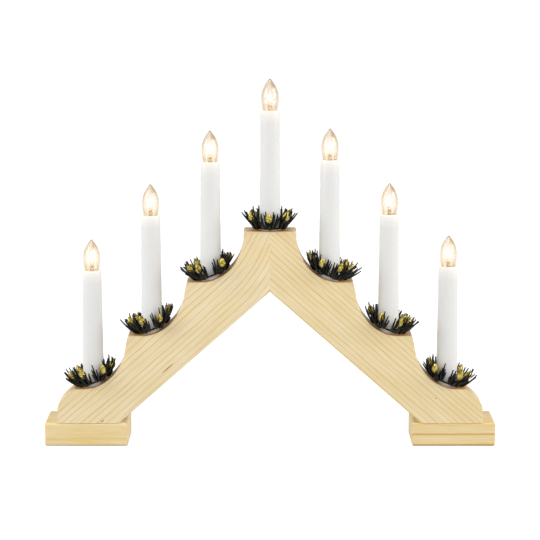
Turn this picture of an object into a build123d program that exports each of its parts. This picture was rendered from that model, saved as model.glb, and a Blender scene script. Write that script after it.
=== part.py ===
from build123d import *
from math import cos, degrees, radians, sin, sqrt, tan
import os

# Sizes in millimetres. X runs along the arch, the front faces -Y, and the feet stand on Z = 0.

# Wooden arch
overall_width = 400
foot_length = 74
foot_height = 21
foot_depth = 47
foot_edge = 2
foot_overhang = 11.5
arm_thickness = 26
arm_slope = 41.5
arm_edge = 0.8
mitre_depth = 53.5
steps_per_arm = 3
end_height = 31
end_flat = 6.3
land_flat = 12.8
step_lip = 8.5
apex_lip = 5.5
lip_round = 2
wall_to_axis = 29.2
end_bevel_run = 15
end_bevel_drop = 11

# Fixings of the arch
dowel_diameter = 5
dowel_length = 30
dowel_spacing = 16
dowel_above_crotch = 20.5
dowel_slack = 1
screw_diameter = 4
screw_head_diameter = 8
screw_head_height = 2.6
screw_head_recess = 4
screw_grip = 18
screw_tip_gap = 1
screw_spacing = 14
screw_from_end = 14.5
fixing_clearance = 0.05
screw_clearance = 0.2

# Candle tube, with the stepped bore that carries the lampholder
tube_base_diameter = 18.9
tube_top_diameter = 16.7
tube_above_land = 104.8
tube_shoulder = 1.3
shoulder_share = 0.9
seat_depth = 12
seat_clearance = 0.15
pocket_diameter = 13.6
pocket_depth = 28
tube_bore = 12.4

# Lampholder
holder_clearance = 0.15
holder_height = 19
holder_web = 4
shell_bore = 10.1
shell_wall = 0.4
shell_height = 13
spring_disc_diameter = 6
spring_disc_height = 0.6
rivet_diameter = 2.4

# Screw-in candle lamp, heights measured from the rim of the tube
glass_diameter = 15.3
glass_belly_height = 9.6
glass_neck_flare = 1
glass_neck_pull = 5.2
glass_ogive_pull = 6.6
glass_tip_pull = 5
glass_tip_angle = 78
tip_thickening = 1.5
glass_tip_height = 27.2
glass_wall = 0.7
neck_diameter = 8.4
neck_in_cap = 6
cap_diameter = 9.4
cap_height = 11.6
cap_wall = 0.4
cap_web = 1
cap_fit = 0.05
contact_diameter = 3.2
contact_height = 1.2
contact_gap = 0.3
stem_diameter = 2.8
stem_foot = 1
stem_flare = 2.5
stem_top_height = 3
lead_diameter = 0.5
filament_height = 9.5
filament_span = 4.4
lead_spread = 2
lead_bend = 0.8
lead_clearance = 0.1

# Wiring in the underside groove
wire_diameter = 1.6
wire_hole_diameter = 7
wire_side_step = 1.4
wire_lead_in = 1.5
wire_bend = 3
groove_width = 7
groove_depth = 8
outlet_diameter = 6
clip_length = 6
clip_height = 1.5
clips_per_arm = 2

# Needle ring: six sprigs, each fused to its own slice of the ring wire
ring_radius = 11.2
ring_wire = 1.6
ring_tilt = 17
ring_clearance = 0.4
sprigs_per_ring = 6
slice_gap = 0.1
needles_per_sprig = 9
needle_fan = 66
needle_root_fan = 38
needle_thickness = 1.3
needle_tip = 0.3
needle_root_length = 6
needle_root_rise = 12
needle_blade_length = 10
needle_low_rise = 48
needle_high_rise = 72
bud_length = 9
bud_diameter = 5.2
bud_widest = 0.35
bud_waist = 0.7
bud_waist_diameter = 4.4
bud_stalk_diameter = 0.9
bud_stalk_length = 5.5
bud_rise = 58

# Places worked out from the sizes above
needle_reach = (ring_radius + needle_root_length * cos(radians(needle_root_rise))
                + needle_blade_length * cos(radians(needle_low_rise)))
needle_overhang = needle_reach - arm_thickness / 2
front_y = -(foot_depth - needle_overhang) / 2
back_y = front_y + arm_thickness
mid_y = front_y + arm_thickness / 2
foot_mid_x = overall_width / 2 - foot_length / 2
arm_end_x = overall_width / 2 - foot_overhang
slope = radians(arm_slope)
notch_span = arm_end_x - end_bevel_run - end_flat + wall_to_axis + land_flat
candle_pitch = notch_span / (steps_per_arm + 1)
notch_radius = candle_pitch - land_flat
step_rise = notch_radius + step_lip
axes = [candle_pitch * (step + 1) for step in range(steps_per_arm)]
walls = [axis - wall_to_axis for axis in axes]
lands = [foot_height + end_height + step * step_rise for step in reversed(range(steps_per_arm))]
apex_height = lands[0] + notch_radius + apex_lip
crotch_height = apex_height - mitre_depth
dowel_height = crotch_height + dowel_above_crotch
heel_x = (crotch_height - foot_height) / tan(slope)
half_tip = radians(glass_tip_angle / 2)
holder_diameter = pocket_diameter - 2 * holder_clearance
screw_x = arm_end_x - screw_from_end

# A side ring is tilted: its inner needles clear the curve of the notch, its outer edge the land
tilt = radians(ring_tilt)
knee_out = ring_radius + needle_root_length * cos(radians(needle_root_rise))
knee_up = needle_root_length * sin(radians(needle_root_rise))
knee_from_wall = wall_to_axis - knee_out * cos(tilt) + knee_up * sin(tilt)
knee_run = max(notch_radius - knee_from_wall, 0)
knee_floor = notch_radius - sqrt(notch_radius ** 2 - knee_run ** 2)
inner_rise = knee_floor + needle_thickness / 2 - knee_out * sin(tilt) - knee_up * cos(tilt)
outer_rise = ring_radius * sin(tilt) + ring_wire / 2
ring_rise = max(inner_rise, outer_rise) + ring_clearance

# Candles from left to right: where each stands, the height of its land, and which arm carries it
candle_places = []
for step in reversed(range(steps_per_arm)):
    candle_places.append((-axes[step], lands[step], -1))
candle_places.append((0, apex_height, 0))
for step in range(steps_per_arm):
    candle_places.append((axes[step], lands[step], 1))


def underside(x):
    return crotch_height - x * tan(slope)


def save(builder, name):
    builder.part.label = name
    export_step(builder.part, f"parts/{name}.step")


os.makedirs("parts", exist_ok=True)

# Right arm: scalloped outline, then its seats, wire groove, dowel holes and screw pilots
with BuildPart() as right_arm:
    with BuildSketch(Plane.XZ.offset(-back_y)):
        with BuildLine():
            Polyline((walls[0], lands[0] + notch_radius), (walls[0], apex_height), (0, apex_height),
                     (0, crotch_height), (heel_x, foot_height), (arm_end_x, foot_height),
                     (arm_end_x, lands[-1] - end_bevel_drop),
                     (arm_end_x - end_bevel_run, lands[-1]),
                     (walls[-1] + notch_radius, lands[-1]))
            for wall, land in zip(walls, lands):
                CenterArc((wall + notch_radius, land + notch_radius), notch_radius, 180, 90)
            for wall, land, lower in zip(walls, lands, lands[1:]):
                outer = wall + candle_pitch
                Polyline((wall + notch_radius, land), (outer, land), (outer, lower + notch_radius))
        make_face()
    extrude(amount=arm_thickness)
    tops = list(zip(walls, [apex_height] + lands))
    corners = [edge for edge in right_arm.edges().filter_by(Axis.Y)
               if any(abs(edge.center().X - wall) + abs(edge.center().Z - top) < lip_round / 4
                      for wall, top in tops)]
    fillet(corners, lip_round)
    rim = [edge for face in right_arm.faces().filter_by(Axis.Y) for edge in face.edges()
           if edge.center().X > 0.1 and edge.center().Z > foot_height + 0.1]
    fillet(rim, arm_edge)
    for x, land in [(0, apex_height)] + list(zip(axes, lands)):
        with Locations((x, mid_y, land + notch_radius)):
            CounterBoreHole(wire_hole_diameter / 2, tube_base_diameter / 2 + seat_clearance,
                            notch_radius + seat_depth, apex_height + notch_radius)
    with BuildSketch(Plane.XZ.offset(-mid_y)):
        inset_x = heel_x + groove_depth * tan(slope / 2)
        groove_end = max(axes[-1], inset_x) + wire_hole_diameter / 2
        Polygon((0, crotch_height), (heel_x, foot_height), (groove_end, foot_height),
                (groove_end, foot_height + groove_depth), (inset_x, foot_height + groove_depth),
                (0, crotch_height + groove_depth / cos(slope)), align=None)
    extrude(amount=groove_width / 2, both=True, mode=Mode.SUBTRACT)
    with Locations(Plane(origin=(0, mid_y, dowel_height), x_dir=(0, 1, 0), z_dir=(1, 0, 0))):
        with GridLocations(dowel_spacing, 0, 2, 1):
            Cylinder(dowel_diameter / 2 + fixing_clearance, dowel_length + 2 * dowel_slack,
                     mode=Mode.SUBTRACT)
    with Locations((screw_x, mid_y, foot_height)):
        with GridLocations(0, screw_spacing, 1, 2):
            Cylinder(screw_diameter / 2 + fixing_clearance, screw_grip,
                     align=(Align.CENTER, Align.CENTER, Align.MIN), mode=Mode.SUBTRACT)
save(right_arm, "right_arm")

# Left arm: the mirror image, with the outlet for the supply lead in its back face
with BuildPart() as left_arm:
    mirror(right_arm.part, about=Plane.YZ)
    with Locations(Plane(origin=(-axes[-1], mid_y, foot_height + groove_depth / 2), z_dir=(0, 1, 0))):
        Cylinder(outlet_diameter / 2, arm_thickness, align=(Align.CENTER, Align.CENTER, Align.MIN),
                 mode=Mode.SUBTRACT)
save(left_arm, "left_arm")

# Feet, flush with the front of the arms and drilled from below
for side, name in ((-1, "left_foot"), (1, "right_foot")):
    with BuildPart() as foot:
        with Locations((side * foot_mid_x, front_y, 0)):
            Box(foot_length, foot_depth, foot_height, align=(Align.CENTER, Align.MIN, Align.MIN))
        fillet(foot.edges(), foot_edge)
        with Locations(Plane(origin=(side * screw_x, mid_y, 0), z_dir=(0, 0, -1))):
            with GridLocations(0, screw_spacing, 1, 2):
                CounterBoreHole(screw_diameter / 2 + screw_clearance,
                                screw_head_diameter / 2 + screw_clearance, screw_head_recess)
    save(foot, name)

# Screws through both feet into the arms
with BuildPart() as foot_screws:
    shank_length = foot_height - screw_head_recess + screw_grip - screw_tip_gap
    for side in (-1, 1):
        with Locations((side * screw_x, mid_y, screw_head_recess)):
            with GridLocations(0, screw_spacing, 1, 2):
                Cylinder(screw_diameter / 2, shank_length, align=(Align.CENTER, Align.CENTER, Align.MIN))
                Cylinder(screw_head_diameter / 2, screw_head_height,
                         align=(Align.CENTER, Align.CENTER, Align.MAX))
save(foot_screws, "foot_screws")

# Dowels across the mitre
with BuildPart() as mitre_dowels:
    with Locations(Plane(origin=(0, mid_y, dowel_height), x_dir=(0, 1, 0), z_dir=(1, 0, 0))):
        with GridLocations(dowel_spacing, 0, 2, 1):
            Cylinder(dowel_diameter / 2, dowel_length)
save(mitre_dowels, "mitre_dowels")

# Clips that keep the wiring in the groove, flush with the underside
with BuildPart() as wire_clips:
    for side in (-1, 1):
        for place in range(clips_per_arm):
            x = candle_pitch * (place + 0.5)
            with Locations(Location((side * x, mid_y, underside(x)), (0, side * arm_slope, 0))):
                Box(clip_length, groove_width, clip_height, align=(Align.CENTER, Align.CENTER, Align.MIN))
save(wire_clips, "wire_clips")

# One wire from each lampholder to the next, down the tube, along the groove and up again
with BuildPart() as link_wires:
    holder_foot = tube_above_land - pocket_depth
    lift = groove_depth / 2 / cos(slope)
    for side in (-1, 1):
        for step in range(steps_per_arm):
            y = mid_y + wire_side_step * (1 if step % 2 == 0 else -1)
            upper_land = apex_height if step == 0 else lands[step - 1]
            upper_x = wire_lead_in if step == 0 else axes[step - 1]
            lower_x = axes[step] + wire_lead_in
            top = (side * upper_x, y, upper_land + holder_foot)
            upper_turn = (side * upper_x, y, underside(upper_x) + lift)
            tail = (side * lower_x, y, lands[step] + holder_foot)
            if underside(lower_x) > foot_height:
                route = [top, upper_turn, (side * lower_x, y, underside(lower_x) + lift), tail]
            else:
                floor_z = foot_height + groove_depth / 2
                heel_turn = heel_x + groove_depth / 2 * tan(slope / 2)
                route = [top, upper_turn, (side * heel_turn, y, floor_z), (side * lower_x, y, floor_z), tail]
            with BuildLine() as path:
                FilletPolyline(*route, radius=wire_bend)
            with BuildSketch(Plane(origin=top, z_dir=(0, 0, -1))):
                Circle(wire_diameter / 2)
            sweep(path=path.line)
save(link_wires, "link_wires")

# Candle tube: tapered outside, rounded at the rim, stepped bore inside
with BuildPart() as tube:
    with BuildSketch(Plane.XZ):
        with BuildLine():
            Polyline((tube_bore / 2, -seat_depth), (tube_base_diameter / 2, -seat_depth),
                     (tube_top_diameter / 2, tube_above_land), (pocket_diameter / 2, tube_above_land),
                     (pocket_diameter / 2, tube_above_land - pocket_depth),
                     (tube_bore / 2, tube_above_land - pocket_depth), close=True)
        make_face()
    revolve(axis=Axis.Z)
    shoulder = tube.edges().filter_by(GeomType.CIRCLE).group_by(Axis.Z)[-1].sort_by(SortBy.RADIUS)[-1]
    fillet(shoulder, min(tube_shoulder, shoulder_share * (tube_top_diameter - pocket_diameter) / 2))

# Lampholder body with its metal thread shell and centre contact, seated on the ledge
holder_base = tube_above_land - pocket_depth
web_top = holder_base + holder_web
with BuildPart() as holder:
    with Locations((0, 0, holder_base)):
        Cylinder(holder_diameter / 2, holder_height, align=(Align.CENTER, Align.CENTER, Align.MIN))
    with Locations((0, 0, holder_base + holder_height)):
        CounterBoreHole(rivet_diameter / 2 + cap_fit, shell_bore / 2 + shell_wall + cap_fit,
                        holder_height - holder_web)

with BuildPart() as shell:
    with Locations((0, 0, web_top)):
        Cylinder(shell_bore / 2 + shell_wall, shell_height, align=(Align.CENTER, Align.CENTER, Align.MIN))
        Cylinder(shell_bore / 2, shell_height, align=(Align.CENTER, Align.CENTER, Align.MIN),
                 mode=Mode.SUBTRACT)

with BuildPart() as centre_contact:
    with Locations((0, 0, web_top)):
        Cylinder(spring_disc_diameter / 2, spring_disc_height,
                 align=(Align.CENTER, Align.CENTER, Align.MIN))
        Cylinder(rivet_diameter / 2, holder_web, align=(Align.CENTER, Align.CENTER, Align.MAX))

# Lamp: solder contact, brass cap, glass envelope with its stem, and the filament on its leads
contact_base = web_top + spring_disc_height + contact_gap
cap_base = contact_base + contact_height
cap_top = cap_base + cap_height
with BuildPart() as contact:
    with Locations((0, 0, contact_base)):
        Cylinder(contact_diameter / 2, contact_height, align=(Align.CENTER, Align.CENTER, Align.MIN))
    fillet(contact.edges().filter_by(GeomType.CIRCLE).sort_by(Axis.Z)[0], contact_height / 2)

with BuildPart() as cap:
    with Locations((0, 0, cap_base)):
        Cylinder(cap_diameter / 2, cap_height, align=(Align.CENTER, Align.CENTER, Align.MIN))
    with Locations((0, 0, cap_base + cap_web)):
        Cylinder(cap_diameter / 2 - cap_wall, cap_height, align=(Align.CENTER, Align.CENTER, Align.MIN),
                 mode=Mode.SUBTRACT)


def envelope(inset):
    neck = neck_diameter / 2 - inset
    neck_base = cap_top - neck_in_cap
    belly = glass_diameter / 2 - inset
    belly_z = tube_above_land + glass_belly_height
    tip_z = tube_above_land + glass_tip_height - tip_thickening * inset
    with BuildPart() as body:
        with BuildSketch(Plane.XZ):
            with BuildLine():
                Polyline((neck, cap_top), (neck, neck_base), (0, neck_base), (0, tip_z))
                Bezier((neck, cap_top), (neck + glass_neck_flare, cap_top + glass_neck_pull),
                       (belly, belly_z - glass_neck_pull), (belly, belly_z))
                Bezier((belly, belly_z), (belly, belly_z + glass_ogive_pull),
                       (glass_tip_pull * sin(half_tip), tip_z - glass_tip_pull * cos(half_tip)), (0, tip_z))
            make_face()
        revolve(axis=Axis.Z)
    return body.part


with BuildPart() as glass:
    add(envelope(0))
    add(envelope(glass_wall), mode=Mode.SUBTRACT)
    stem_base = cap_top - neck_in_cap
    with BuildSketch(Plane.XZ):
        with BuildLine():
            flare = neck_diameter / 2 - glass_wall - cap_fit
            stem_top = tube_above_land + stem_top_height
            Polyline((0, stem_base), (flare, stem_base), (flare, stem_base + stem_foot),
                     (stem_diameter / 2, stem_base + stem_foot + stem_flare),
                     (stem_diameter / 2, stem_top), (0, stem_top), close=True)
        make_face()
    revolve(axis=Axis.Z)

with BuildPart() as filament:
    with BuildLine() as lead_path:
        top_z = tube_above_land + filament_height
        lead_z = stem_top + lead_clearance
        FilletPolyline((-lead_spread / 2, 0, lead_z), (-filament_span / 2, 0, top_z),
                       (filament_span / 2, 0, top_z), (lead_spread / 2, 0, lead_z), radius=lead_bend)
    with BuildSketch(Plane(origin=lead_path.line @ 0, z_dir=lead_path.line % 0)):
        Circle(lead_diameter / 2)
    sweep(path=lead_path.line)

# Tubes and lamps stand on every candle place, each with its own node
candle_pieces = {"candle_tube": tube, "bulb_contact": contact, "bulb_cap": cap,
                 "bulb_glass": glass, "bulb_filament": filament}
for number, (x, land, _) in enumerate(candle_places, start=1):
    for name, piece in candle_pieces.items():
        with BuildPart() as placed:
            with Locations((x, mid_y, land)):
                add(piece.part)
        save(placed, f"{name}_{number}")

# Lampholders, thread shells and centre contacts are alike and hidden, so each kind shares a node
holder_pieces = {"lampholders": holder, "screw_shells": shell, "centre_contacts": centre_contact}
for name, piece in holder_pieces.items():
    with BuildPart() as group:
        for x, land, _ in candle_places:
            with Locations((x, mid_y, land)):
                add(piece.part)
    save(group, name)


# Needle rings are built flat about their own centre, then tilted to lie in the notch
def heading(angle, rise):
    return Vector(cos(radians(angle)) * cos(radians(rise)), sin(radians(angle)) * cos(radians(rise)),
                  sin(radians(rise)))


def spike(stations, angle, sides):
    across = (-sin(radians(angle)), cos(radians(angle)), 0)
    with BuildPart() as piece:
        for centre, direction, thickness in stations:
            with BuildSketch(Plane(origin=centre, x_dir=across, z_dir=direction)):
                RegularPolygon(thickness / 2, sides)
        loft(ruled=True)
    return piece.part


def needle(root_angle, angle, rise):
    root = heading(root_angle, 0) * ring_radius
    low = heading(angle, needle_root_rise)
    blade = heading(angle, rise)
    knee = root + low * needle_root_length
    tip = knee + blade * needle_blade_length
    return spike([(root, low, needle_thickness), (knee, low + blade, needle_thickness),
                  (tip, blade, needle_tip)], angle, 3)


def sprig(angle):
    with BuildPart() as wire_slice:
        with BuildSketch(Plane.XZ):
            with Locations((ring_radius, 0)):
                RegularPolygon(ring_wire / 2, 6)
        arc = 360 / sprigs_per_ring - degrees(slice_gap / ring_radius)
        revolve(axis=Axis.Z, revolution_arc=arc)
    needles = []
    for place in range(needles_per_sprig):
        share = place / (needles_per_sprig - 1) - 0.5
        rise = needle_low_rise if place % 2 == 0 else needle_high_rise
        if place != needles_per_sprig // 2:
            needles.append(needle(angle + share * needle_root_fan, angle + share * needle_fan, rise))
    turned = wire_slice.part.rotate(Axis.Z, angle - arc / 2)
    return turned.fuse(*needles)


def bud(angle):
    aim = heading(angle, bud_rise)
    root = heading(angle, 0) * ring_radius + aim * (ring_wire / 2 + fixing_clearance)
    neck = root + aim * bud_stalk_length
    profile = [(0, bud_stalk_diameter), (bud_widest, bud_diameter), (bud_waist, bud_waist_diameter),
               (1, bud_stalk_diameter)]
    stations = [(root, aim, bud_stalk_diameter)]
    for share, thickness in profile:
        stations.append((neck + aim * bud_length * share, aim, thickness))
    return spike(stations, angle, 6)


def ring_of(make, first_angle):
    with BuildPart() as ring:
        for place in range(sprigs_per_ring):
            add(make(first_angle + place * 360 / sprigs_per_ring))
    return ring.part


# The apex ring has a sprig at the front, the side rings a gap there
half_step = 180 / sprigs_per_ring
for name, make in (("needle_ring", sprig), ("ring_buds", bud)):
    apex_ring = ring_of(make, -90)
    side_ring = ring_of(make, -90 + half_step)
    for number, (x, land, side) in enumerate(candle_places, start=1):
        height = ring_rise if side else ring_wire / 2 + ring_clearance
        with BuildPart() as placed:
            with Locations(Location((x, mid_y, land + height), (0, side * ring_tilt, 0))):
                add(side_ring if side else apex_ring)
        save(placed, f"{name}_{number}")
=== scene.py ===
import random
from math import atan2, cos, pi, radians, sin

import bmesh
import bpy
from mathutils import Matrix, Vector


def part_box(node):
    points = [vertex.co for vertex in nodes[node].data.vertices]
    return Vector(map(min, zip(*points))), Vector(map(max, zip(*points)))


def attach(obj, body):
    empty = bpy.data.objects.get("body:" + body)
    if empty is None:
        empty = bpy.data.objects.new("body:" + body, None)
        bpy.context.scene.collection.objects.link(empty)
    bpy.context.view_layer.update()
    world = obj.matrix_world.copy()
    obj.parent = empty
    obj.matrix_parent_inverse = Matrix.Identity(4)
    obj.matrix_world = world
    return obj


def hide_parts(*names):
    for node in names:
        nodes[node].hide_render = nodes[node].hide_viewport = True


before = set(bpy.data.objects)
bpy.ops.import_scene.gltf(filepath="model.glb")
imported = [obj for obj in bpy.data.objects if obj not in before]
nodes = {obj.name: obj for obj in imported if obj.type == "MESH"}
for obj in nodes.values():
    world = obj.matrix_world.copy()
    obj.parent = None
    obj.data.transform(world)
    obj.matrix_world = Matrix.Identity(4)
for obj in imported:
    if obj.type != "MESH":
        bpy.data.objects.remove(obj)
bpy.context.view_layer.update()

MM = 0.001

# Sizes below are in millimetres and angles in degrees, unless a name says otherwise
candles = range(1, 8)
apex_candle = 4
merge_distance = 0.001

# Camera fitted to the photograph's 540 pixel frame
image_width_px = 540
focal_px = 2000
camera_pitch = 10
camera_distance = 1740
camera_height = 462.6
sensor_width = 36

# Arch
arm_slope = 41.5
arm_half_thickness = 13
candle_pitch = 52.3
notch_radius = 39.5
wall_from_axis = 29.2
end_round_run = 15.5
end_round_drop = 18.6
end_round_pulls = ((5.2, -6.8), (0.5, -12.8))
end_round_steps = 7
wall_lean_run = 2.8
wall_lean_drop = 13
wall_lean_pulls = ((1.6, -3), (0.5, -8))
wall_lean_steps = 4
cut_margin = 1
cut_tolerance = 0.0001
flat_angle = 1
soft_angle = 15

# Pine
drift_length = 110
drift_width = 26
cloud_length = 60
cloud_width = 18
fibre_length = 26
fibre_width = 0.7
fibre_relief = 0.06
bend_start = 64
streak_width = 1.1
streak_depth = 4
# Painted warm shade on the lands under the needle rings: where it starts from a seat and where it is full
painted_shade_start = 27
painted_shade_full = 13

# Candle tube
seat_depth = 12
stands_proud = {2: 0.9, 5: 1.8, 6: 1.8, 7: 3.5}
tube_taper = 1.1
tube_rows = (0, 0.2, 0.4, 0.6, 0.8, 0.9, 0.95)
tube_shoulder = 1.3
tube_shoulder_steps = 8
tube_turn_steps = 64
pocket_diameter = 13.6
pocket_depth = 28
ledge_width = 0.6
glow_reach = 16

# Lamp, heights from the rim of its tube
glass_wall = 0.7
glass_turn_steps = 40
neck_diameter = 8.4
neck_base = -16.3
neck_top = -10.3
neck_flare = 1
neck_pull = 5.2
neck_steps = 14
belly_diameter = 15.3
belly_height = 9.6
belly_pull = 7
tip_height = 27.2
tip_pull = (4.5, -3.9)
tip_steps = 16
tip_thickening = 1.5
stem_diameter = 2.8
stem_top = 3
stem_dome = 0.4
stem_crown = 0.8
stem_round = 1.5
stem_flare_height = 4
stem_gap = 0.1
stem_turn_steps = 20

# Painted warm light in the glass for the filament's glow: a patch beside the tip, and a little towards the
# neck and the top
amber_side = (1, -0.35)
amber_patch = 0.75
amber_patch_heights = (18.5, 21.5)
amber_patch_edge = (0.3, 0.7)
amber_neck = 0.32
amber_neck_heights = (7, 3)
amber_top = 0.15
amber_top_heights = (12, 18)

# Filament
filament_height = 9.5
filament_span = 4.4
lead_thickness = 0.4
lead_spread = 0.8
lead_start = 0.2
lead_sides = 8
bead_diameter = 3.4
bead_height = 4
bead_sides = 16
coil_thickness = 0.22
coil_diameter = 0.9
coil_turns = 9
coil_turn_steps = 10
coil_sides = 5

# Ring
ring_radius = 11.2
ring_wire = 1.5
ring_wire_sides = 8
ring_turn_steps = 48
ring_tilt = 21
ring_rise = 5
apex_ring_rise = 2
first_seed = 40
apex_sprigs = (-90, -28, 35, 90, 145, 208)
side_sprigs = (-112, -50, 14, 74, 130, 188)
sprig_sway = 5
sprig_depth = 5
sprig_core_length = 7
sprig_core_thickness = 4.8
sprig_core_start = 1
sprig_core_rise = 20
sprig_core_curl = 30
low_side_rise = 16
apex_rise_share = 0.7

# Needle
needle_count = 18
needle_length = 17
needle_length_spread = (0.86, 1.06)
needle_thickness = 2
needle_thickness_spread = (0.9, 1.1)
needle_root_width = 0.7
needle_widest = 0.3
needle_tip_width = 0.5
needle_sides = 5
needle_steps = 6
needle_fan = 76
needle_sway = 3
needle_place_spread = (0.35, 0.65)
root_fan = 38
root_clearance = 1.5
needle_rises = (26, 48, 36, 60, 42)
needle_rise_sway = 5
needle_curl = (12, 22)
needle_clearance = 1.3
clearance_shares = (0.35, 0.7, 1.0)
steepest_rise = 80
rise_step = 6
beside_wood = 1
no_wood = -99

# Bud
bud_length = 10.5
bud_diameter = 6.8
bud_stalk_length = 8
bud_stalk_rise = (28, 40)
bud_stalk_curl = 32
bud_sway = 8
bud_seat_share = 0.42
bud_clear_angle = 15
short_needle_share = 0.5
bud_segments = 20
bud_rows = 16
pole_radius = 1e-6
bud_scales_round = 5
bud_scale_slant = 7
bud_scale_depth = 0.2
bud_scale_edge = 0.6
bud_taper = 0.2
bud_point = 0.45


def linear(hex_colour):
    """An sRGB hex colour as the linear RGBA that the shaders take."""
    channels = [int(hex_colour[i:i + 2], 16) / 255 for i in (1, 3, 5)]
    return [c / 12.92 if c <= 0.04045 else ((c + 0.055) / 1.055) ** 2.4 for c in channels] + [1]


def put(tree, kind, inputs=None, stops=(), **settings):
    """Add a node, set its properties and colour stops, and give each input a value or a link."""
    node = tree.nodes.new(kind)
    for name, value in settings.items():
        setattr(node, name, value)
    if stops:
        elements = node.color_ramp.elements
        while len(elements) < len(stops):
            elements.new(0.5)
        for element, (place, colour) in zip(elements, stops):
            element.position = place
            element.color = linear(colour)
    for socket, value in (inputs or {}).items():
        if isinstance(value, bpy.types.NodeSocket):
            tree.links.new(value, node.inputs[socket])
        else:
            node.inputs[socket].default_value = value
    return node


def new_material(name):
    material = bpy.data.materials.new(name)
    material.use_nodes = True
    material.node_tree.nodes.clear()
    return material, material.node_tree


def growth_rings(tree, grain, pith_mm, ring_mm, waviness_mm, uneven, bend):
    """Mask of the latewood: rings about the pith that wander along the grain and bend near one end."""
    drift = put(tree, "ShaderNodeMapping",
                {"Vector": grain, "Scale": (1 / drift_length, 1 / drift_width, 1 / drift_width)})
    drift = put(tree, "ShaderNodeTexNoise", {"Vector": drift.outputs["Vector"], "Scale": 1, "Detail": 2})
    drift = put(tree, "ShaderNodeMath", {0: drift.outputs["Fac"], 1: 0.5}, operation="SUBTRACT")
    drift = put(tree, "ShaderNodeMath", {0: drift.outputs[0], 1: waviness_mm}, operation="MULTIPLY")
    parts = put(tree, "ShaderNodeSeparateXYZ", {"Vector": grain})
    across = put(tree, "ShaderNodeMath", {0: parts.outputs["Z"], 1: drift.outputs[0]}, operation="ADD")
    past = put(tree, "ShaderNodeMath", {0: parts.outputs["X"], 1: bend_start}, operation="SUBTRACT")
    past = put(tree, "ShaderNodeMath", {0: past.outputs[0], 1: 0}, operation="MAXIMUM")
    past = put(tree, "ShaderNodeMath", {0: past.outputs[0], 1: 2}, operation="POWER")
    across = put(tree, "ShaderNodeMath", {0: past.outputs[0], 1: -bend, 2: across.outputs[0]},
                 operation="MULTIPLY_ADD")
    from_pith = put(tree, "ShaderNodeCombineXYZ", {"Y": parts.outputs["Y"], "Z": across.outputs[0]})
    from_pith = put(tree, "ShaderNodeVectorMath",
                    {0: from_pith.outputs[0], 1: (0, pith_mm[0], pith_mm[1])}, operation="DISTANCE")
    spread = put(tree, "ShaderNodeTexNoise",
                 {"W": from_pith.outputs["Value"], "Scale": 0.35 / ring_mm, "Detail": 1},
                 noise_dimensions="1D")
    spread = put(tree, "ShaderNodeMath", {0: spread.outputs["Fac"], 1: uneven}, operation="MULTIPLY")
    year = put(tree, "ShaderNodeMath",
               {0: from_pith.outputs["Value"], 1: 1 / ring_mm, 2: spread.outputs[0]},
               operation="MULTIPLY_ADD")
    season = put(tree, "ShaderNodeMath", {0: year.outputs[0]}, operation="FRACT")
    line = put(tree, "ShaderNodeValToRGB", {"Fac": season.outputs[0]},
               stops=((0, "#000000"), (0.66, "#000000"), (0.8, "#7c7c7c"), (0.88, "#ffffff"),
                      (0.95, "#ededed"), (1, "#000000")))
    ring = put(tree, "ShaderNodeMath", {0: year.outputs[0]}, operation="FLOOR")
    strength = put(tree, "ShaderNodeTexWhiteNoise", {"W": ring.outputs[0]}, noise_dimensions="1D")
    strength = put(tree, "ShaderNodeMapRange",
                   {"Value": strength.outputs["Value"], "To Min": 0.45, "To Max": 0.95})
    return put(tree, "ShaderNodeMath", {0: line.outputs["Color"], 1: strength.outputs[0]},
               operation="MULTIPLY").outputs[0]


def resin_streak(tree, grain, wood, middle, length):
    """Lay one brown streak of resin over the wood, along the grain."""
    away = put(tree, "ShaderNodeVectorMath", {0: grain, 1: middle}, operation="SUBTRACT")
    away = put(tree, "ShaderNodeVectorMath",
               {0: away.outputs["Vector"], 1: (2 / length, 2 / streak_depth, 2 / streak_width)},
               operation="MULTIPLY")
    away = put(tree, "ShaderNodeVectorMath", {0: away.outputs["Vector"]}, operation="LENGTH")
    mark = put(tree, "ShaderNodeMapRange",
               {"Value": away.outputs["Value"], "From Min": 1.2, "From Max": 0.5})
    return put(tree, "ShaderNodeMix", {"Factor": mark.outputs[0], "A": wood, "B": linear("#b87420")},
               data_type="RGBA").outputs["Result"]


def seat_painted_shade(tree, place, wood):
    """Painted shade: turn the upward faces of the wood warm brown towards the seats, which stand one candle
    pitch apart, where the needle rings shade the lands.
    """
    spot = put(tree, "ShaderNodeMapping", {"Vector": place, "Location": (0, -mid_y, 0),
                                           "Scale": (1 / MM, 1 / MM, 1 / MM)})
    spot = put(tree, "ShaderNodeSeparateXYZ", {"Vector": spot.outputs["Vector"]})
    along = put(tree, "ShaderNodeMath", {0: spot.outputs["X"], 1: candle_pitch / 2},
                operation="PINGPONG")
    from_seat = put(tree, "ShaderNodeCombineXYZ", {"X": along.outputs[0], "Y": spot.outputs["Y"]})
    from_seat = put(tree, "ShaderNodeVectorMath", {0: from_seat.outputs[0]}, operation="LENGTH")
    painted_shade = put(tree, "ShaderNodeMapRange", {"Value": from_seat.outputs["Value"],
                                              "From Min": painted_shade_start, "From Max": painted_shade_full})
    facing = put(tree, "ShaderNodeNewGeometry").outputs["Normal"]
    facing = put(tree, "ShaderNodeSeparateXYZ", {"Vector": facing})
    facing = put(tree, "ShaderNodeMapRange",
                 {"Value": facing.outputs["Z"], "From Min": 0.3, "From Max": 0.6})
    painted_shade = put(tree, "ShaderNodeMath", {0: painted_shade.outputs[0], 1: facing.outputs[0]},
                 operation="MULTIPLY")
    # painted shade: warm brown where the needle ring shades the land
    return put(tree, "ShaderNodeMix", {"Factor": painted_shade.outputs[0], "A": wood, "B": linear("#ca9354")},
               data_type="RGBA").outputs["Result"]


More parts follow.
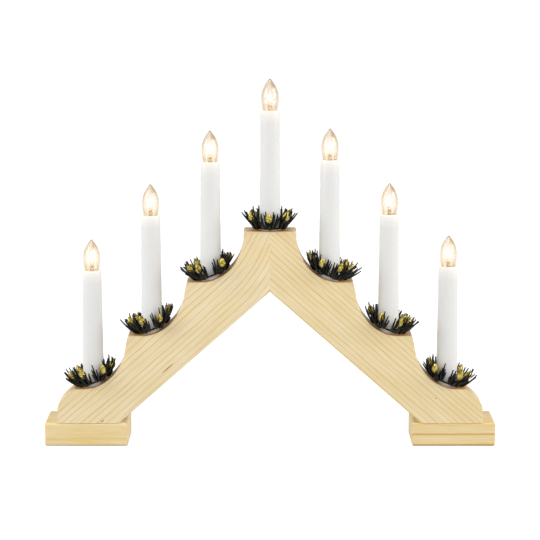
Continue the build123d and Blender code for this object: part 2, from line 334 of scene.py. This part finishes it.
# Pine, planed and thinly lacquered: pale earlywood with darker latewood lines along the grain
def pine(name, grain_angle, pith_mm, ring_mm, waviness_mm, uneven, early, late, streaks=(),
         seats=False, bend=0):
    material, tree = new_material(name)
    place = put(tree, "ShaderNodeTexCoord").outputs["Object"]
    grain = put(tree, "ShaderNodeMapping", {"Vector": place, "Rotation": (0, radians(grain_angle), 0),
                                            "Scale": (1 / MM, 1 / MM, 1 / MM)}).outputs["Vector"]
    latewood = growth_rings(tree, grain, pith_mm, ring_mm, waviness_mm, uneven, bend)
    cloud = put(tree, "ShaderNodeMapping",
                {"Vector": grain, "Scale": (1 / cloud_length, 1 / cloud_width, 1 / cloud_width)})
    cloud = put(tree, "ShaderNodeTexNoise", {"Vector": cloud.outputs["Vector"], "Scale": 1, "Detail": 1})
    earlywood = put(tree, "ShaderNodeValToRGB", {"Fac": cloud.outputs["Fac"]},
                    stops=((0.3, early[0]), (0.7, early[1])))
    wood = put(tree, "ShaderNodeMix",
               {"Factor": latewood, "A": earlywood.outputs["Color"], "B": linear(late)},
               data_type="RGBA").outputs["Result"]
    for x, z, length in streaks:
        middle = Matrix.Rotation(radians(grain_angle), 3, "Y") @ Vector((x, front_y, z))
        wood = resin_streak(tree, grain, wood, middle, length)
    # painted warm shade on the lands under the needle rings
    if seats:
        wood = seat_painted_shade(tree, place, wood)
    fibre = put(tree, "ShaderNodeMapping",
                {"Vector": grain, "Scale": (1 / fibre_length, 1 / fibre_width, 1 / fibre_width)})
    fibre = put(tree, "ShaderNodeTexNoise", {"Vector": fibre.outputs["Vector"], "Scale": 1, "Detail": 3,
                                             "Roughness": 0.6}).outputs["Fac"]
    fibre_tone = put(tree, "ShaderNodeValToRGB", {"Fac": fibre},
                     stops=((0.3, "#f1ece2"), (0.7, "#ffffff")))
    wood = put(tree, "ShaderNodeMix", {"Factor": 1.0, "A": wood, "B": fibre_tone.outputs["Color"]},
               data_type="RGBA", blend_type="MULTIPLY").outputs["Result"]
    gloss = put(tree, "ShaderNodeMapRange", {"Value": fibre, "To Min": 0.42, "To Max": 0.58})
    relief = put(tree, "ShaderNodeMath", {0: fibre, 1: 0.5, 2: latewood}, operation="MULTIPLY_ADD")
    bump = put(tree, "ShaderNodeBump", {"Height": relief.outputs[0], "Strength": 0.25,
                                        "Distance": fibre_relief * MM})
    shader = put(tree, "ShaderNodeBsdfPrincipled", {"Base Color": wood, "Roughness": gloss.outputs[0],
                                                    "IOR": 1.5, "Specular IOR Level": 0.2,
                                                    "Normal": bump.outputs["Normal"]})
    put(tree, "ShaderNodeOutputMaterial", {"Surface": shader.outputs[0]})
    return material


# Moulded polypropylene tube: satin white, with a painted warm glow below the lamp standing in for its light
# coming through
def candle_plastic():
    material, tree = new_material("satin_white_polypropylene")
    place = put(tree, "ShaderNodeTexCoord").outputs["Object"]
    skin = put(tree, "ShaderNodeTexNoise", {"Vector": place, "Scale": 1 / (1.5 * MM), "Detail": 2})
    gloss = put(tree, "ShaderNodeMapRange",
                {"Value": skin.outputs["Fac"], "To Min": 0.34, "To Max": 0.46})
    bump = put(tree, "ShaderNodeBump",
               {"Height": skin.outputs["Fac"], "Strength": 0.05, "Distance": 0.05 * MM})
    # painted light: the tube glows warm towards its rim, under the lamp
    glow = put(tree, "ShaderNodeAttribute", attribute_name="lamp_glow")
    light = put(tree, "ShaderNodeValToRGB", {"Fac": glow.outputs["Fac"]},
                stops=((0, "#000000"), (0.3, "#221e16"), (0.67, "#564d3a"), (1, "#767063")))
    shader = put(tree, "ShaderNodeBsdfPrincipled", {"Base Color": linear("#e2e3e3"),
                                                    "Roughness": gloss.outputs[0], "IOR": 1.49,
                                                    "Subsurface Weight": 0.15,
                                                    "Subsurface Scale": 1.5 * MM,
                                                    "Emission Color": light.outputs["Color"],
                                                    "Emission Strength": 1.0,
                                                    "Normal": bump.outputs["Normal"]})
    put(tree, "ShaderNodeOutputMaterial", {"Surface": shader.outputs[0]})
    return material


# Blown soda glass: clear, with painted warm light where the wall is seen edge on and in patches, for the
# filament's glow in the glass
def lamp_glass():
    material, tree = new_material("clear_soda_glass")
    # painted light: the glass turns amber where its wall is seen edge on
    edge = put(tree, "ShaderNodeLayerWeight", {"Blend": 0.5})
    painted_warm_tint = put(tree, "ShaderNodeValToRGB", {"Fac": edge.outputs["Facing"]},
               stops=((0, "#fefbf7"), (0.2, "#faf4ea"), (0.4, "#f6ecde"), (0.65, "#ead8be"),
                      (1, "#c2a07a")))
    # painted light: amber patches laid on by the envelope
    painted_amber = put(tree, "ShaderNodeAttribute", attribute_name="painted_amber")
    painted_warm_tint = put(tree, "ShaderNodeMix", {"Factor": painted_amber.outputs["Fac"], "A": painted_warm_tint.outputs["Color"],
                                       "B": linear("#dac4a4")}, data_type="RGBA")
    shader = put(tree, "ShaderNodeBsdfPrincipled", {"Base Color": painted_warm_tint.outputs["Result"],
                                                    "Roughness": 0.0, "IOR": 1.3,
                                                    "Transmission Weight": 1.0})
    put(tree, "ShaderNodeOutputMaterial", {"Surface": shader.outputs[0]})
    return material


# Tungsten wire at working heat: a warm white glow
def hot_tungsten():
    material, tree = new_material("glowing_tungsten")
    shader = put(tree, "ShaderNodeBsdfPrincipled", {"Base Color": linear("#fff2d8"), "Roughness": 0.5,
                                                    "Emission Color": linear("#fff0cf"),
                                                    "Emission Strength": 6.0})
    put(tree, "ShaderNodeOutputMaterial", {"Surface": shader.outputs[0]})
    material.cycles.emission_sampling = "NONE"
    return material


# Copper-clad leads and the glass bead that holds them: pale copper brown, with a faint painted glow for the
# light of the coil
def copper_lead():
    material, tree = new_material("copper_clad_lead")
    place = put(tree, "ShaderNodeTexCoord").outputs["Object"]
    patch = put(tree, "ShaderNodeTexNoise", {"Vector": place, "Scale": 1 / (0.8 * MM), "Detail": 2})
    colour = put(tree, "ShaderNodeValToRGB", {"Fac": patch.outputs["Fac"]},
                 stops=((0.35, "#c6a983"), (0.65, "#dfccaa"))).outputs["Color"]
    # painted light: a faint glow standing in for the coil's light
    shader = put(tree, "ShaderNodeBsdfPrincipled", {"Base Color": colour, "Roughness": 0.35,
                                                    "Metallic": 0.3, "Emission Color": colour,
                                                    "Emission Strength": 0.1})
    put(tree, "ShaderNodeOutputMaterial", {"Surface": shader.outputs[0]})
    material.cycles.emission_sampling = "NONE"
    return material


# Moulded polyethylene needles: black green and glossy
def needle_plastic():
    material, tree = new_material("dark_green_polyethylene")
    place = put(tree, "ShaderNodeTexCoord").outputs["Object"]
    patch = put(tree, "ShaderNodeTexNoise", {"Vector": place, "Scale": 1 / (5 * MM), "Detail": 2})
    colour = put(tree, "ShaderNodeValToRGB", {"Fac": patch.outputs["Fac"]},
                 stops=((0.35, "#030404"), (0.72, "#0c130e")))
    gloss = put(tree, "ShaderNodeMapRange",
                {"Value": patch.outputs["Fac"], "To Min": 0.3, "To Max": 0.5})
    shader = put(tree, "ShaderNodeBsdfPrincipled", {"Base Color": colour.outputs["Color"],
                                                    "Roughness": gloss.outputs[0],
                                                    "Specular IOR Level": 0.22})
    put(tree, "ShaderNodeOutputMaterial", {"Surface": shader.outputs[0]})
    return material


# Metallised plastic buds: uneven gold with dark olive in the hollows
def gold_paint():
    material, tree = new_material("metallised_gold_plastic")
    place = put(tree, "ShaderNodeTexCoord").outputs["Object"]
    patch = put(tree, "ShaderNodeTexNoise", {"Vector": place, "Scale": 1 / (1.6 * MM), "Detail": 3})
    colour = put(tree, "ShaderNodeValToRGB", {"Fac": patch.outputs["Fac"]},
                 stops=((0.34, "#8a7212"), (0.46, "#dcc234"), (0.62, "#faf0a0")))
    hollow = put(tree, "ShaderNodeAttribute", attribute_name="hollow")
    colour = put(tree, "ShaderNodeMix", {"Factor": hollow.outputs["Fac"], "A": colour.outputs["Color"],
                                         "B": linear("#4a3a0c")}, data_type="RGBA")
    shader = put(tree, "ShaderNodeBsdfPrincipled", {"Base Color": colour.outputs["Result"],
                                                    "Metallic": 0.6, "Roughness": 0.33})
    put(tree, "ShaderNodeOutputMaterial", {"Surface": shader.outputs[0]})
    return material


# Finishes of the hidden pieces: one tone, uneven in patches and duller where it is worn
def plain_finish(name, colour, worn, grain_mm, roughness, metallic=0.0):
    material, tree = new_material(name)
    place = put(tree, "ShaderNodeTexCoord").outputs["Object"]
    patch = put(tree, "ShaderNodeTexNoise", {"Vector": place, "Scale": 1 / (grain_mm * MM), "Detail": 3})
    tone = put(tree, "ShaderNodeValToRGB", {"Fac": patch.outputs["Fac"]},
               stops=((0.35, worn), (0.65, colour)))
    gloss = put(tree, "ShaderNodeMapRange", {"Value": patch.outputs["Fac"], "To Min": roughness + 0.08,
                                             "To Max": roughness - 0.08})
    shader = put(tree, "ShaderNodeBsdfPrincipled", {"Base Color": tone.outputs["Color"],
                                                    "Roughness": gloss.outputs[0],
                                                    "Metallic": metallic})
    put(tree, "ShaderNodeOutputMaterial", {"Surface": shader.outputs[0]})
    return material


def dress(node, material):
    mesh = nodes[node].data
    mesh.materials.clear()
    mesh.materials.append(material)


def piece(name, bm, material, body, slot, *replaced):
    """Turn a bmesh in millimetres into a finished piece that rides on its body."""
    bmesh.ops.remove_doubles(bm, verts=bm.verts, dist=merge_distance)
    bmesh.ops.recalc_face_normals(bm, faces=bm.faces)
    bmesh.ops.scale(bm, vec=(MM, MM, MM), verts=bm.verts)
    mesh = bpy.data.meshes.new(name)
    bm.to_mesh(mesh)
    bm.free()
    for face in mesh.polygons:
        face.use_smooth = True
    mesh.materials.append(material)
    obj = bpy.data.objects.new(name, mesh)
    bpy.context.scene.collection.objects.link(obj)
    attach(obj, body)
    if replaced:
        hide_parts(*replaced)
    return obj


def turn(bm, profile, steps, closed=True):
    """Spin a profile of (radius, height) points about the Z axis."""
    verts = [bm.verts.new((radius, 0, height)) for radius, height in profile]
    edges = [bm.edges.new(pair) for pair in zip(verts, verts[1:])]
    if closed:
        edges.append(bm.edges.new((verts[-1], verts[0])))
    bmesh.ops.spin(bm, geom=verts + edges, cent=(0, 0, 0), axis=(0, 0, 1), angle=2 * pi, steps=steps,
                   use_merge=True)


def arc(centre, radius, start, end, steps):
    """Points along an arc from one angle to another."""
    angles = [radians(start + (end - start) * i / steps) for i in range(steps + 1)]
    return [(centre[0] + radius * cos(angle), centre[1] + radius * sin(angle)) for angle in angles]


def bezier(a, b, c, d, steps):
    """Points along a curve from a to d, pulled towards b and c."""
    points = []
    for i in range(steps + 1):
        t = i / steps
        weights = ((1 - t) ** 3, 3 * t * (1 - t) ** 2, 3 * t ** 2 * (1 - t), t ** 3)
        points.append(tuple(sum(w * p[k] for w, p in zip(weights, (a, b, c, d))) for k in range(2)))
    return points


def part_way(value, start, end):
    """How far a value has come from start to end, kept between 0 and 1."""
    return min(max((value - start) / (end - start), 0), 1)


# Where each candle stands: the middle of its rim, and the land of wood around its seat
low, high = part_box(f"candle_tube_{apex_candle}")
mid_y = (low.y + high.y) / 2 / MM
front_y = mid_y - arm_half_thickness
base_radius = (high.x - low.x) / 2 / MM
top_radius = base_radius - tube_taper
tube_height = (high.z - low.z) / MM
places = {}
lands = {}
for number in candles:
    low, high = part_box(f"candle_tube_{number}")
    rim = high.z / MM + stands_proud.get(number, 0)
    places[number] = Vector(((low.x + high.x) / 2 / MM, mid_y, rim))
    lands[number] = low.z / MM + seat_depth

plastic = candle_plastic()
glass = lamp_glass()
tungsten = hot_tungsten()
copper = copper_lead()
needles = needle_plastic()
gold = gold_paint()
brass = plain_finish("pressed_brass", "#c9a85a", "#9a7b3a", 3, 0.3, 1.0)
zinc = plain_finish("zinc_plated_steel", "#b9bcc0", "#8d9095", 2, 0.35, 1.0)
tin = plain_finish("tin_solder", "#a9abad", "#85878a", 1, 0.45, 1.0)
holder = plain_finish("moulded_holder_plastic", "#e6e4dc", "#d5d2c8", 2, 0.45)
sheath = plain_finish("extruded_pvc_sheath", "#e8e8e4", "#d8d8d2", 3, 0.4)
beech = plain_finish("turned_beech", "#d2a878", "#b98c5c", 1.5, 0.6)

# Wood: the grain follows each arm, and runs level in the feet
left_pine = pine("left_arm_pine", arm_slope, (-40, -160), 5.2, 6, 0.9, ("#eddcb2", "#f2e6c8"), "#e2b857",
                 streaks=((-90.2, 71, 14), (-148.5, 23, 4)), seats=True, bend=0.0045)
right_pine = pine("right_arm_pine", -arm_slope, (-30, -190), 4.3, 5, 0.3, ("#ecdaae", "#f1e3c0"), "#e4bb5e",
                  streaks=((146.6, 43.6, 1.4),), seats=True)
dress("left_foot", pine("left_foot_pine", 0, (-95, -20), 7, 4, 0.6, ("#e9d294", "#f3e4c0"), "#e7cd8e"))
dress("right_foot", pine("right_foot_pine", 0, (-93.6, -40), 5.1, 1.5, 0, ("#ead49c", "#f0deb0"),
                         "#cf9f45"))
for node, material in (("mitre_dowels", beech), ("foot_screws", zinc), ("lampholders", holder),
                       ("screw_shells", brass), ("centre_contacts", brass), ("link_wires", sheath),
                       ("wire_clips", holder)):
    dress(node, material)


def shave_corner(bm, outward, corner, land, curve):
    """Cut an upper corner of an arm back to a curve of (run, drop) points from the corner."""
    inner = corner - curve[0][0] - cut_margin
    lower = land + curve[-1][1] - cut_margin
    for place, normal in (((outward * inner, 0, 0), (1, 0, 0)), ((0, 0, lower), (0, 0, 1))):
        bmesh.ops.bisect_plane(bm, geom=bm.verts[:] + bm.edges[:] + bm.faces[:], dist=cut_tolerance,
                               plane_co=place, plane_no=normal)
    for (run, drop), (next_run, next_drop) in zip(curve, curve[1:]):
        outer = [vert for vert in bm.verts if outward * vert.co.x > inner - merge_distance
                 and vert.co.z > lower - merge_distance]
        kept = set(outer)
        outer += [item for item in bm.edges[:] + bm.faces[:] if kept.issuperset(item.verts)]
        bmesh.ops.bisect_plane(bm, geom=outer, dist=cut_tolerance,
                               plane_co=(outward * (corner - run), 0, land + drop),
                               plane_no=(outward * (drop - next_drop), 0, run - next_run),
                               clear_outer=True)
        bmesh.ops.holes_fill(bm, edges=[edge for edge in bm.edges if edge.is_boundary], sides=0)


# Arm: the solid's own wood, with the outer end rounded and the edges above the notch walls leaning back.
# The arms mirror each other, so the right one's sizes serve both.
def rounded_arm(name, material, outward):
    bm = bmesh.new()
    bm.from_mesh(nodes[name].data)
    bmesh.ops.scale(bm, vec=(1 / MM, 1 / MM, 1 / MM), verts=bm.verts)
    bmesh.ops.remove_doubles(bm, verts=bm.verts, dist=merge_distance)
    wall_curve = bezier((wall_lean_run, 0), *wall_lean_pulls, (0, -wall_lean_drop), wall_lean_steps)
    for number in (5, 6):
        shave_corner(bm, outward, places[number + 1].x - wall_from_axis, lands[number], wall_curve)
    end_curve = bezier((end_round_run, 0), *end_round_pulls, (0, -end_round_drop), end_round_steps)
    shave_corner(bm, outward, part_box("right_arm")[1].x / MM, lands[7], end_curve)
    for edge in bm.edges:
        across = abs(edge.verts[0].co.y - edge.verts[1].co.y)
        limit = flat_angle if across < arm_half_thickness else soft_angle
        edge.smooth = edge.calc_face_angle(pi) < radians(limit)
    piece(f"rounded_{name}", bm, material, "root", "pine", name)


# Candle tube: tapered, rounded at the rim, with the pocket that takes the lampholder
def candle_tube(number):
    bm = bmesh.new()
    pocket = pocket_diameter / 2
    ledge = -pocket_depth - stands_proud.get(number, 0)
    foot = -tube_height - stands_proud.get(number, 0)
    profile = [(base_radius - tube_taper * share, foot * (1 - share)) for share in tube_rows]
    profile += arc((top_radius - tube_shoulder, -tube_shoulder), tube_shoulder, 0, 90, tube_shoulder_steps)
    profile += [(pocket, 0), (pocket, ledge), (pocket - ledge_width, ledge), (pocket - ledge_width, foot)]
    turn(bm, profile, tube_turn_steps)
    # painted lamp light: a glow that grows towards the rim
    glow = bm.verts.layers.float.new("lamp_glow")
    for vert in bm.verts:
        vert[glow] = part_way(vert.co.z, -glow_reach, 0)
    bmesh.ops.translate(bm, vec=places[number], verts=bm.verts)
    piece(f"tapered_candle_{number}", bm, plastic, "root", "candle_plastic", f"candle_tube_{number}")


# Lamp envelope with its stem, both of the same glass
def lamp_envelope(number):
    bm = bmesh.new()
    base = neck_base - stands_proud.get(number, 0)
    walls = []
    for inset in (0, glass_wall):
        neck = neck_diameter / 2 - inset
        belly = belly_diameter / 2 - inset
        tip = tip_height - tip_thickening * inset
        lower = bezier((neck, neck_top), (neck + neck_flare, neck_top + neck_pull),
                       (belly, belly_height - neck_pull), (belly, belly_height), neck_steps)
        upper = bezier((belly, belly_height), (belly, belly_height + belly_pull),
                       (tip_pull[0], tip + tip_pull[1]), (0, tip), tip_steps)
        walls.append([(neck, base)] + lower + upper[1:])
    turn(bm, walls[0] + walls[1][::-1], glass_turn_steps)
    stem = stem_diameter / 2
    turn(bm, [(0, base), (neck_diameter / 2 - glass_wall - stem_gap, base),
              (stem, base + stem_flare_height), (stem, stem_top - stem_round),
              (stem * stem_crown, stem_top), (0, stem_top + stem_dome)], stem_turn_steps, closed=False)
    # painted warm light in the glass, strongest in a patch beside the tip
    painted_amber = bm.verts.layers.float.new("painted_amber")
    for vert in bm.verts:
        height = vert.co.z
        beside = vert.co.xy.dot(Vector(amber_side).normalized()) / max(vert.co.xy.length, 0.01)
        vert[painted_amber] = (amber_patch * part_way(height, *amber_patch_heights)
                       * part_way(beside, *amber_patch_edge)
                       + amber_neck * part_way(height, *amber_neck_heights)
                       + amber_top * part_way(height, *amber_top_heights))
    bmesh.ops.translate(bm, vec=places[number], verts=bm.verts)
    envelope = piece(f"lamp_envelope_{number}", bm, glass, f"bulb_{number}", "bulb_glass",
                     f"bulb_glass_{number}")
    envelope.visible_shadow = False


# Filament: two leads from the stem, the bead that holds them and a coiled wire between them
def lamp_filament(number):
    bm = bmesh.new()
    for side in (-1, 1):
        foot = Vector((side * lead_spread, 0, stem_top + lead_start))
        top = Vector((side * filament_span / 2, 0, filament_height))
        run = top - foot
        lead = bmesh.ops.create_cone(bm, cap_ends=True, segments=lead_sides, radius1=lead_thickness / 2,
                                     radius2=lead_thickness / 2, depth=run.length)["verts"]
        bmesh.ops.rotate(bm, cent=(0, 0, 0), matrix=run.to_track_quat("Z", "Y").to_matrix(), verts=lead)
        bmesh.ops.translate(bm, vec=(foot + top) / 2, verts=lead)
    bmesh.ops.create_cone(bm, cap_ends=True, segments=bead_sides, radius1=bead_diameter / 2,
                          radius2=lead_thickness, depth=bead_height,
                          matrix=Matrix.Translation((0, 0, stem_top + bead_height / 2)))
    for face in bm.faces:
        face.material_index = 1
    start = Vector((-filament_span / 2, 0, filament_height))
    loop = bmesh.ops.create_circle(bm, cap_ends=True, segments=coil_sides, radius=coil_thickness / 2,
                                   matrix=Matrix.Translation(start + Vector((0, 0, coil_diameter / 2))))
    end = loop["verts"] + list({edge for vert in loop["verts"] for edge in vert.link_edges})
    end += list({face for vert in loop["verts"] for face in vert.link_faces})
    steps = coil_turns * coil_turn_steps
    bmesh.ops.spin(bm, geom=end, cent=start, axis=(1, 0, 0), dvec=(filament_span / steps, 0, 0),
                   angle=2 * pi * coil_turns, steps=steps)
    bmesh.ops.translate(bm, vec=places[number], verts=bm.verts)
    filament = piece(f"lamp_filament_{number}", bm, tungsten, f"bulb_{number}", "filament",
                     f"bulb_filament_{number}")
    filament.data.materials.append(copper)


rounded_arm("left_arm", left_pine, -1)
rounded_arm("right_arm", right_pine, 1)
for number in candles:
    candle_tube(number)
    lamp_envelope(number)
    lamp_filament(number)
    dress(f"bulb_cap_{number}", brass)
    dress(f"bulb_contact_{number}", tin)


# One straight needle of unit length and width, thickest below the middle, which every sprig bends
def needle_blank():
    bm = bmesh.new()
    bmesh.ops.create_cone(bm, cap_ends=True, segments=needle_sides, radius1=0.5, radius2=0.5, depth=1)
    upright = [edge for edge in bm.edges if abs(edge.verts[0].co.z - edge.verts[1].co.z) > 0.5]
    bmesh.ops.subdivide_edges(bm, edges=upright, cuts=needle_steps - 1, use_grid_fill=True)
    for vert in bm.verts:
        share = vert.co.z + 0.5
        width = (needle_root_width + (1 - needle_root_width) * part_way(share, 0, needle_widest)
                 - (1 - needle_tip_width) * part_way(share, needle_widest, 1))
        vert.co = Vector((vert.co.x * width, vert.co.y * width, share))
    mesh = bpy.data.meshes.new("needle_blank")
    bm.to_mesh(mesh)
    bm.free()
    return mesh


# One bud: an egg of overlapping scales
def bud_blank():
    bm = bmesh.new()
    bmesh.ops.create_uvsphere(bm, u_segments=bud_segments, v_segments=bud_rows, radius=1)
    hollow = bm.verts.layers.float.new("hollow")
    for vert in bm.verts:
        x, y, z = vert.co
        at_pole = vert.co.xy.length < pole_radius
        around = 0 if at_pole else atan2(y, x) * bud_scales_round / 2
        lattice = cos(around + bud_scale_slant * z) * cos(around - bud_scale_slant * z)
        fullness = abs(lattice) ** bud_scale_edge
        vert[hollow] = 1 - fullness
        width = (1 - bud_scale_depth + bud_scale_depth * fullness) * bud_diameter / 2
        width *= (1 - bud_taper * z) * (1 - bud_point * z ** 2)
        vert.co = Vector((x * width, y * width, z * bud_length / 2))
    mesh = bpy.data.meshes.new("bud_blank")
    bm.to_mesh(mesh)
    bm.free()
    return mesh


needle_mesh = needle_blank()
bud_mesh = bud_blank()
scratch = bpy.data.meshes.new("scratch")


def add_copy(target, blank, move):
    """Add a copy of a blank mesh to a bmesh, with every point moved."""
    copy = bmesh.new()
    copy.from_mesh(blank)
    for vert in copy.verts:
        vert.co = move(vert.co)
    copy.to_mesh(scratch)
    copy.free()
    target.from_mesh(scratch)


def notch_height(x, y, side):
    """Height of the wood above the land at a place measured from the candle's foot."""
    if abs(y) > arm_half_thickness + beside_wood:
        return no_wood
    if side == 0:
        return 0
    run = -x * side - (wall_from_axis - notch_radius)
    run = min(max(run, 0), notch_radius)
    return notch_radius - (notch_radius ** 2 - run ** 2) ** 0.5


def curved(root, angle, rise, curl, length):
    """Points and normals along a needle that starts at root and curls upward from its first rise."""
    ahead = Vector((cos(angle), sin(angle), 0))
    up = Vector((0, 0, 1))

    def at(share):
        bend = rise + curl * share
        forward = (sin(bend) - sin(rise)) / curl
        upward = (cos(rise) - cos(bend)) / curl
        return root + (ahead * forward + up * upward) * length, ahead * -sin(bend) + up * cos(bend)

    return at


# Needle ring: wire, sprigs of curved needles and a bud in each sprig
def needle_ring(number):
    dice = random.Random(first_seed + number)
    side = (number > apex_candle) - (number < apex_candle)
    sprigs = side_sprigs if side else apex_sprigs
    height = ring_rise if side else apex_ring_rise
    tilt = Matrix.Rotation(radians(ring_tilt * side), 4, "Y")
    centre = Vector((places[number].x, mid_y, lands[number] + height))

    ring = bmesh.new()
    turn(ring, arc((ring_radius, 0), ring_wire / 2, 0, 360, ring_wire_sides)[:-1], ring_turn_steps)
    buds = bmesh.new()
    buds.verts.layers.float.new("hollow")

    def clear_of_wood(at):
        for share in clearance_shares:
            point = tilt @ at(share)[0]
            if point.z + height < notch_height(point.x, point.y, side) + needle_clearance:
                return False
        return True

    def add_needle(root, angle, rise, curl, length, thickness):
        """Add one needle, steeper if the wood is in its way, and give its tip and the rise there."""
        at = curved(root, angle, rise, curl, length)
        while not clear_of_wood(at) and rise < radians(steepest_rise):
            rise += radians(rise_step)
            at = curved(root, angle, rise, curl, length)
        across = Vector((-sin(angle), cos(angle), 0))

        def bend(point):
            spot, normal = at(point.z)
            return spot + (across * point.x + normal * point.y) * thickness

        add_copy(ring, needle_mesh, bend)
        return at(1.0)[0], rise + curl

    def sway(limit):
        return dice.uniform(-limit, limit)

    for sprig in sprigs:
        heading = (180 - sprig if side > 0 else sprig) + sway(sprig_sway)
        for place in range(needle_count):
            share = (place + dice.uniform(*needle_place_spread)) / needle_count - 0.5
            root_angle = radians(heading + root_fan * share)
            angle = radians(heading + needle_fan * share + sway(needle_sway))
            root = Vector((cos(root_angle), sin(root_angle), 0))
            root *= ring_radius + sprig_depth * dice.random() ** 2
            seat = tilt @ root
            root.z += max(0, notch_height(seat.x, seat.y, side) + root_clearance - seat.z - height)
            rise = radians(needle_rises[place % len(needle_rises)] + sway(needle_rise_sway))
            rise += radians(low_side_rise) * (max(0, side * cos(angle)) if side else apex_rise_share)
            curl = radians(dice.uniform(*needle_curl))
            length = needle_length * dice.uniform(*needle_length_spread)
            if abs(needle_fan * share) < bud_clear_angle:
                length *= short_needle_share
            thickness = needle_thickness * dice.uniform(*needle_thickness_spread)
            add_needle(root, angle, rise, curl, length, thickness)

        angle = radians(heading)
        extra_rise = radians(low_side_rise) * side * cos(angle)
        root = Vector((cos(angle), sin(angle), 0)) * (ring_radius + sprig_core_start)
        add_needle(root, angle, radians(sprig_core_rise) + extra_rise, radians(sprig_core_curl),
                   sprig_core_length, sprig_core_thickness)

        angle = radians(heading + sway(bud_sway))
        root = Vector((cos(angle), sin(angle), 0)) * ring_radius
        rise = radians(dice.uniform(*bud_stalk_rise)) + extra_rise
        neck, slope = add_needle(root, angle, rise, radians(bud_stalk_curl), bud_stalk_length,
                                 needle_thickness)
        aim = Vector((cos(angle) * cos(slope), sin(angle) * cos(slope), sin(slope)))
        place_bud = (Matrix.Translation(neck + aim * bud_length * bud_seat_share)
                     @ aim.to_track_quat("Z", "Y").to_matrix().to_4x4()
                     @ Matrix.Rotation(dice.uniform(0, 2 * pi), 4, "Z"))
        add_copy(buds, bud_mesh, lambda point: place_bud @ point)
    for bm in (ring, buds):
        bmesh.ops.transform(bm, matrix=Matrix.Translation(centre) @ tilt, verts=bm.verts)
    piece(f"needle_wreath_{number}", ring, needles, f"ring_{number}", "needles", f"needle_ring_{number}")
    piece(f"gold_buds_{number}", buds, gold, f"ring_{number}", "gold_buds", f"ring_buds_{number}")


for number in candles:
    needle_ring(number)


# Floor: white card that keeps the soft shadow of the feet
def white_card():
    material, tree = new_material("white_card")
    path = put(tree, "ShaderNodeLightPath")
    seen = put(tree, "ShaderNodeMath", {0: path.outputs["Is Camera Ray"], 1: path.outputs["Is Glossy Ray"]},
               operation="MAXIMUM")
    seen = put(tree, "ShaderNodeMath", {0: seen.outputs[0], 1: path.outputs["Is Transmission Ray"]},
               operation="MAXIMUM")
    lift = put(tree, "ShaderNodeMath", {0: seen.outputs[0], 1: 0.85}, operation="MULTIPLY")
    card = put(tree, "ShaderNodeBsdfDiffuse", {"Color": linear("#a0a0a0")})
    shine = put(tree, "ShaderNodeEmission", {"Color": linear("#ffffff"), "Strength": lift.outputs[0]})
    both = put(tree, "ShaderNodeAddShader", {0: card.outputs[0], 1: shine.outputs[0]})
    put(tree, "ShaderNodeOutputMaterial", {"Surface": both.outputs[0]})
    return material


floor_half_width_m = 30
floor_bm = bmesh.new()
bmesh.ops.create_grid(floor_bm, x_segments=1, y_segments=1, size=floor_half_width_m)
floor_mesh = bpy.data.meshes.new("floor")
floor_bm.to_mesh(floor_mesh)
floor_bm.free()
floor_mesh.materials.append(white_card())
floor = bpy.data.objects.new("floor", floor_mesh)
bpy.context.scene.collection.objects.link(floor)

# World: white to the camera and through glass, a soft fill for the rest
world = bpy.data.worlds.new("studio")
world.use_nodes = True
tree = world.node_tree
tree.nodes.clear()
path = put(tree, "ShaderNodeLightPath")
seen = put(tree, "ShaderNodeMath",
           {0: path.outputs["Is Camera Ray"], 1: path.outputs["Is Transmission Ray"]},
           operation="MAXIMUM")
level = put(tree, "ShaderNodeMapRange", {"Value": seen.outputs[0], "To Min": 0.45, "To Max": 1.0})
sky = put(tree, "ShaderNodeBackground", {"Color": linear("#ffffff"), "Strength": level.outputs[0]})
put(tree, "ShaderNodeOutputWorld", {"Surface": sky.outputs[0]})
bpy.context.scene.world = world

# Soft boxes around the arch, in metres and watts, all turned to its middle
arch_middle_m = Vector((0, 0, 0.15))


def soft_box(name, place_m, size_m, watts, colour):
    lamp = bpy.data.lights.new(name, "AREA")
    lamp.size = size_m
    lamp.energy = watts
    lamp.color = linear(colour)[:3]
    obj = bpy.data.objects.new(name, lamp)
    obj.location = place_m
    obj.rotation_euler = (arch_middle_m - Vector(place_m)).to_track_quat("-Z", "Y").to_euler()
    bpy.context.scene.collection.objects.link(obj)


soft_box("left_soft_box", (-1.7, -0.7, 0.9), 1.2, 25.6, "#fffcf8")
soft_box("right_soft_box", (1.7, -0.7, 0.9), 1.2, 27, "#fffbf6")
soft_box("front_soft_box", (0.0, -2.6, 1.0), 1.6, 15, "#ffffff")
soft_box("back_soft_box", (0.0, 2.4, 1.4), 1.6, 9, "#ffffff")

camera = bpy.data.cameras.new("camera")
camera.sensor_width = sensor_width
camera.lens = sensor_width * focal_px / image_width_px
camera.clip_end = 100
eye = bpy.data.objects.new("camera", camera)
eye.location = (0, -camera_distance * MM, camera_height * MM)
eye.rotation_euler = (radians(90 - camera_pitch), 0, 0)
bpy.context.scene.collection.objects.link(eye)
bpy.context.scene.camera = eye
bpy.context.scene.view_settings.view_transform = "Standard"
